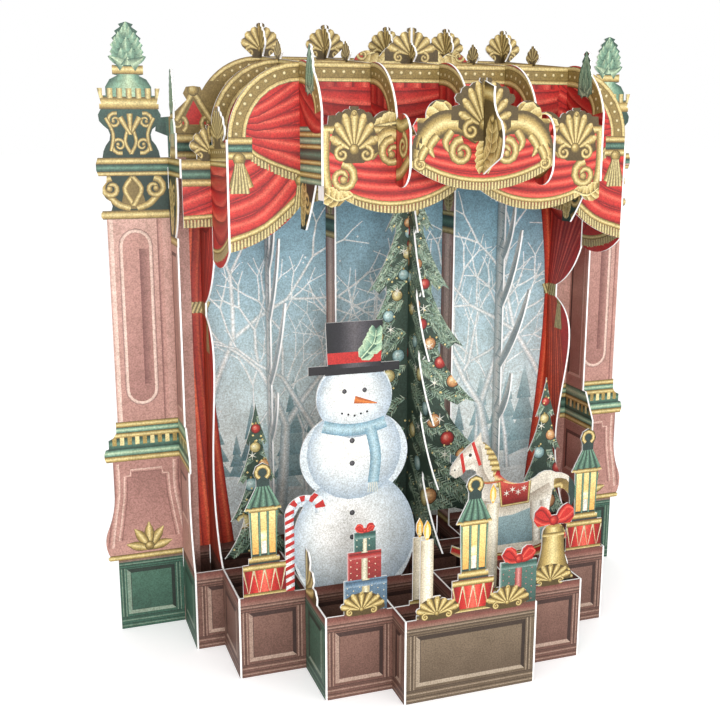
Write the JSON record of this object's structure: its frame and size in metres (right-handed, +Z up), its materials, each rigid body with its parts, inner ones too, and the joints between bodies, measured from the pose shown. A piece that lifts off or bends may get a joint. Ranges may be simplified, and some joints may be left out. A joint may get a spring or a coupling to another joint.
{
  "type": "greeting card",
  "caption": "Free-standing pop-up theatre card: crossed die-cut card sheets form an arched stage with curtains, a fir and gifts, on a panelled base.",
  "frame": {"origin": "middle of the footprint, on the surface the card stands on", "axes": "+Z up, -Y towards the viewer of the stage, +X to the viewer's right"},
  "size_m": [0.1766, 0.0845, 0.1782],
  "materials": {
    "printed_card_backdrop": "coated card, printed",
    "printed_card_fir": "coated card, printed",
    "printed_card_valances": "coated card, printed",
    "printed_card_fronts": "coated card, printed",
    "printed_card_ribs": "coated card, printed"
  },
  "bodies": {
    "root": {"back_scene": "printed_card_backdrop", "fir_screen": "printed_card_fir", "stage_valance": "printed_card_valances", "stage_front": "printed_card_fronts", "pit_valance": "printed_card_valances", "pit_front": "printed_card_fronts", "crest_valance": "printed_card_valances", "box_front": "printed_card_fronts", "fir_rib": "printed_card_fir", "pillar_rib_left": "printed_card_ribs", "pillar_rib_right": "printed_card_ribs", "curtain_rib_left": "printed_card_ribs", "curtain_rib_right": "printed_card_ribs", "branch_rib_left": "printed_card_ribs", "branch_rib_right": "printed_card_ribs", "post_rib_left": "printed_card_ribs", "post_rib_right": "printed_card_ribs"}
  },
  "joints": []
}
